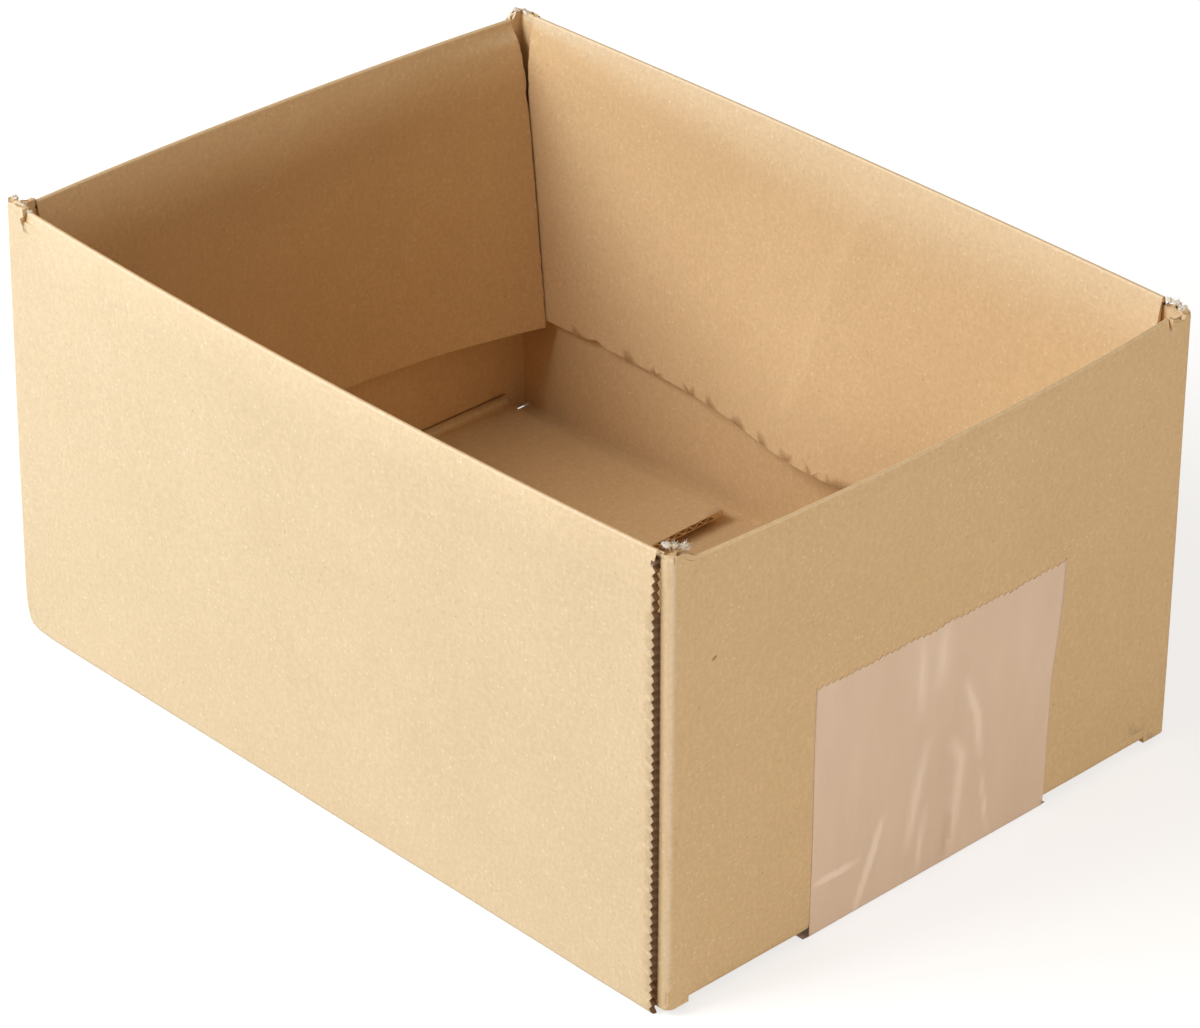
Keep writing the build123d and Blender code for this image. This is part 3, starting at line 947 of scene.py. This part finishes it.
# painted shade: across the teeth, from under the liner to the tab's far side, the cut turns near black-brown
# for the shadowed flute hollows
painted_cut_shade = maths(tree, (-400, -250), "MULTIPLY", from_liner, to_tab)
at_cut = maths(tree, (-400, 200), "MULTIPLY", from_teeth, to_corner)
painted_cut_shade = maths(tree, (-300, -250), "MULTIPLY", painted_cut_shade, at_cut)
cut_with_painted_shade = mix_colour(tree, (-100, 100), painted_cut_shade, paper.outputs["Color"], (0.17, 0.085, 0.035, 1))
shive = add_node(tree, "ShaderNodeMapping", (-900, -500), vector_type="TEXTURE")
shive.inputs["Location"].default_value = (half_length, -65.6 * mm, 82.1 * mm)
shive.inputs["Rotation"].default_value = (0.5, 0, 0)
shive.inputs["Scale"].default_value = (2 * mm, 0.85 * mm, 0.45 * mm)
tree.links.new(place.outputs["Object"], shive.inputs["Vector"])
reach = add_node(tree, "ShaderNodeVectorMath", (-700, -500), operation="LENGTH")
tree.links.new(shive.outputs[0], reach.inputs[0])
bark = spread(tree, (-500, -500), reach.outputs["Value"], 0.6, 1.1, 0.75, 0)
tree.links.new(mix_colour(tree, (50, 50), bark, cut_with_painted_shade, (0.30, 0.14, 0.06, 1)), shader.inputs["Base Color"])

torn, _, _, _ = paper_material("torn_paper_felt", (0.86, 0.80, 0.72, 1), (0.66, 0.57, 0.47, 1), 0.2, 0.0)

# %% [markdown]
# Packing tape is a clear film that has gone milky. Its colour is paler and pinker than the board's, it lets
# only a little of the board show, and it is whiter still along its wrinkles.

# %% The tape's finish
film_finish = bpy.data.materials.new("packing_film")
film_finish.use_nodes = True
tree = film_finish.node_tree
shader = tree.nodes["Principled BSDF"]
shader.inputs["IOR"].default_value = 1.45
place = add_node(tree, "ShaderNodeTexCoord", (-1300, 0))
haze = stretched_noise(tree, (-800, 0), place.outputs["Object"], 60, 5, stretch=(1, 1, 0.3))
streaks = add_node(tree, "ShaderNodeAttribute", (-800, -400), attribute_name="streak")
milk = maths(tree, (-500, -400), "MULTIPLY", streaks.outputs["Fac"], 0.45)
film_colour = mix_colour(tree, (-500, 200), haze, (0.93, 0.70, 0.52, 1), (0.95, 0.73, 0.57, 1))
film_colour = mix_colour(tree, (-300, 200), milk, film_colour, (0.98, 0.88, 0.79, 1))
tree.links.new(film_colour, shader.inputs["Base Color"])
alpha = maths(tree, (-300, -100), "ADD", spread(tree, (-500, -100), haze, 0.3, 0.7, 0.78, 0.88), milk)
tree.links.new(spread(tree, (-100, -100), alpha, 0.0, 1.0), shader.inputs["Alpha"])
tree.links.new(spread(tree, (-500, -650), haze, 0.3, 0.7, 0.32, 0.5), shader.inputs["Roughness"])

papers = [box_walls, *hanging.values(), *covers.values(), *floor_covers, floor_flap_left, floor_flap_right]
for piece in papers:
    piece.data.materials.append(kraft)
torn_paper.data.materials.append(torn)
tape_strip.data.materials.append(film_finish)

# %% [markdown]
# ## Floor, light and camera
# The box stands on a pale sheet, which glows to the camera alone so that it shows as white and still takes the
# box's shadow.

# %% Floor
floor_bm = bmesh.new()
bmesh.ops.create_grid(floor_bm, x_segments=1, y_segments=1, size=6)
bmesh.ops.translate(floor_bm, verts=floor_bm.verts, vec=(0, 0, -0.05 * mm))
floor_mesh = bpy.data.meshes.new("floor")
floor_bm.to_mesh(floor_mesh)
floor_bm.free()
ground = bpy.data.objects.new("floor", floor_mesh)
bpy.context.scene.collection.objects.link(ground)
ground_finish = bpy.data.materials.new("pale_floor")
ground_finish.use_nodes = True
tree = ground_finish.node_tree
shader = tree.nodes["Principled BSDF"]
shader.inputs["Base Color"].default_value = (0.45, 0.45, 0.45, 1)
shader.inputs["Roughness"].default_value = 0.9
shader.inputs["Specular IOR Level"].default_value = 0.1
ray = add_node(tree, "ShaderNodeLightPath", (-500, -300))
shader.inputs["Emission Color"].default_value = (1, 1, 1, 1)
glow = maths(tree, (-250, -300), "MULTIPLY", ray.outputs["Is Camera Ray"], 0.72)
tree.links.new(glow, shader.inputs["Emission Strength"])
ground.data.materials.append(ground_finish)

# %% [markdown]
# A large soft lamp, high and to the left, lights the long wall and the flap over the back wall. Two low lamps,
# a cool one in front and a warmer one at the end, light the outside alone, because the walls shade the inside
# from them. So the inside is lit mostly by the board itself, which turns its shade a deep warm brown.

# %% Light
world = bpy.data.worlds.new("studio")
bpy.context.scene.world = world
world.use_nodes = True
tree = world.node_tree
air = tree.nodes["Background"]
ray = add_node(tree, "ShaderNodeLightPath", (-700, 0))
seen = ray.outputs["Is Camera Ray"]
warm, white = (1.0, 0.86, 0.70, 1), (1, 1, 1, 1)
tree.links.new(mix_colour(tree, (-400, 100), seen, warm, white), air.inputs[0])
tree.links.new(spread(tree, (-400, -100), seen, 0, 1, 0.30, 1.0), air.inputs[1])


def soft_lamp(name, direction, distance, width, height, power, colour):
    """A lamp that shines on the box from that direction."""
    lamp = bpy.data.lights.new(name, "AREA")
    lamp.shape = "RECTANGLE"
    lamp.size, lamp.size_y = width, height
    lamp.energy = power
    lamp.color = colour
    holder = bpy.data.objects.new(name, lamp)
    away = Vector(direction).normalized()
    turned = away.to_track_quat("Z", "Y").to_matrix().to_4x4()
    holder.matrix_world = Matrix.Translation(away * distance) @ turned
    bpy.context.scene.collection.objects.link(holder)


soft_lamp("key", (-0.5, -1.0, 0.85), 1.5, 0.9, 0.9, 23, (0.96, 0.99, 1.0))
soft_lamp("low_front", (-0.7, -0.7, 0.12), 1.2, 0.8, 0.16, 5.0, (0.4, 0.95, 1.7))
soft_lamp("low_end", (1.0, 0.0, 0.10), 1.2, 0.8, 0.16, 5.5, (1.0, 0.96, 0.88))

# %% [markdown]
# The camera was fitted to the photograph's corners. It stands a metre away with a long lens, and its focal
# length is given in pixels of a picture 1200 wide.

# %% Camera
azimuth, elevation, roll = radians(46.1), radians(30.27), radians(0.5)
distance = 1057.2 * mm
aim = Vector((5.54, -1.10, 46.65)) * mm
focal_pixels, picture_width, film_width = 4747.3, 1200, 36
back = Vector((sin(azimuth) * cos(elevation), -cos(azimuth) * cos(elevation), sin(elevation)))
lens = bpy.data.cameras.new("camera")
lens.sensor_width = film_width
lens.sensor_fit = "HORIZONTAL"
lens.lens = focal_pixels / picture_width * film_width
camera = bpy.data.objects.new("camera", lens)
bpy.context.scene.collection.objects.link(camera)
upright = back.to_track_quat("Z", "Y").to_matrix().to_4x4()
camera.matrix_world = Matrix.Translation(aim + back * distance) @ upright @ Matrix.Rotation(roll, 4, "Z")
bpy.context.scene.camera = camera
bpy.context.scene.view_settings.view_transform = "Standard"
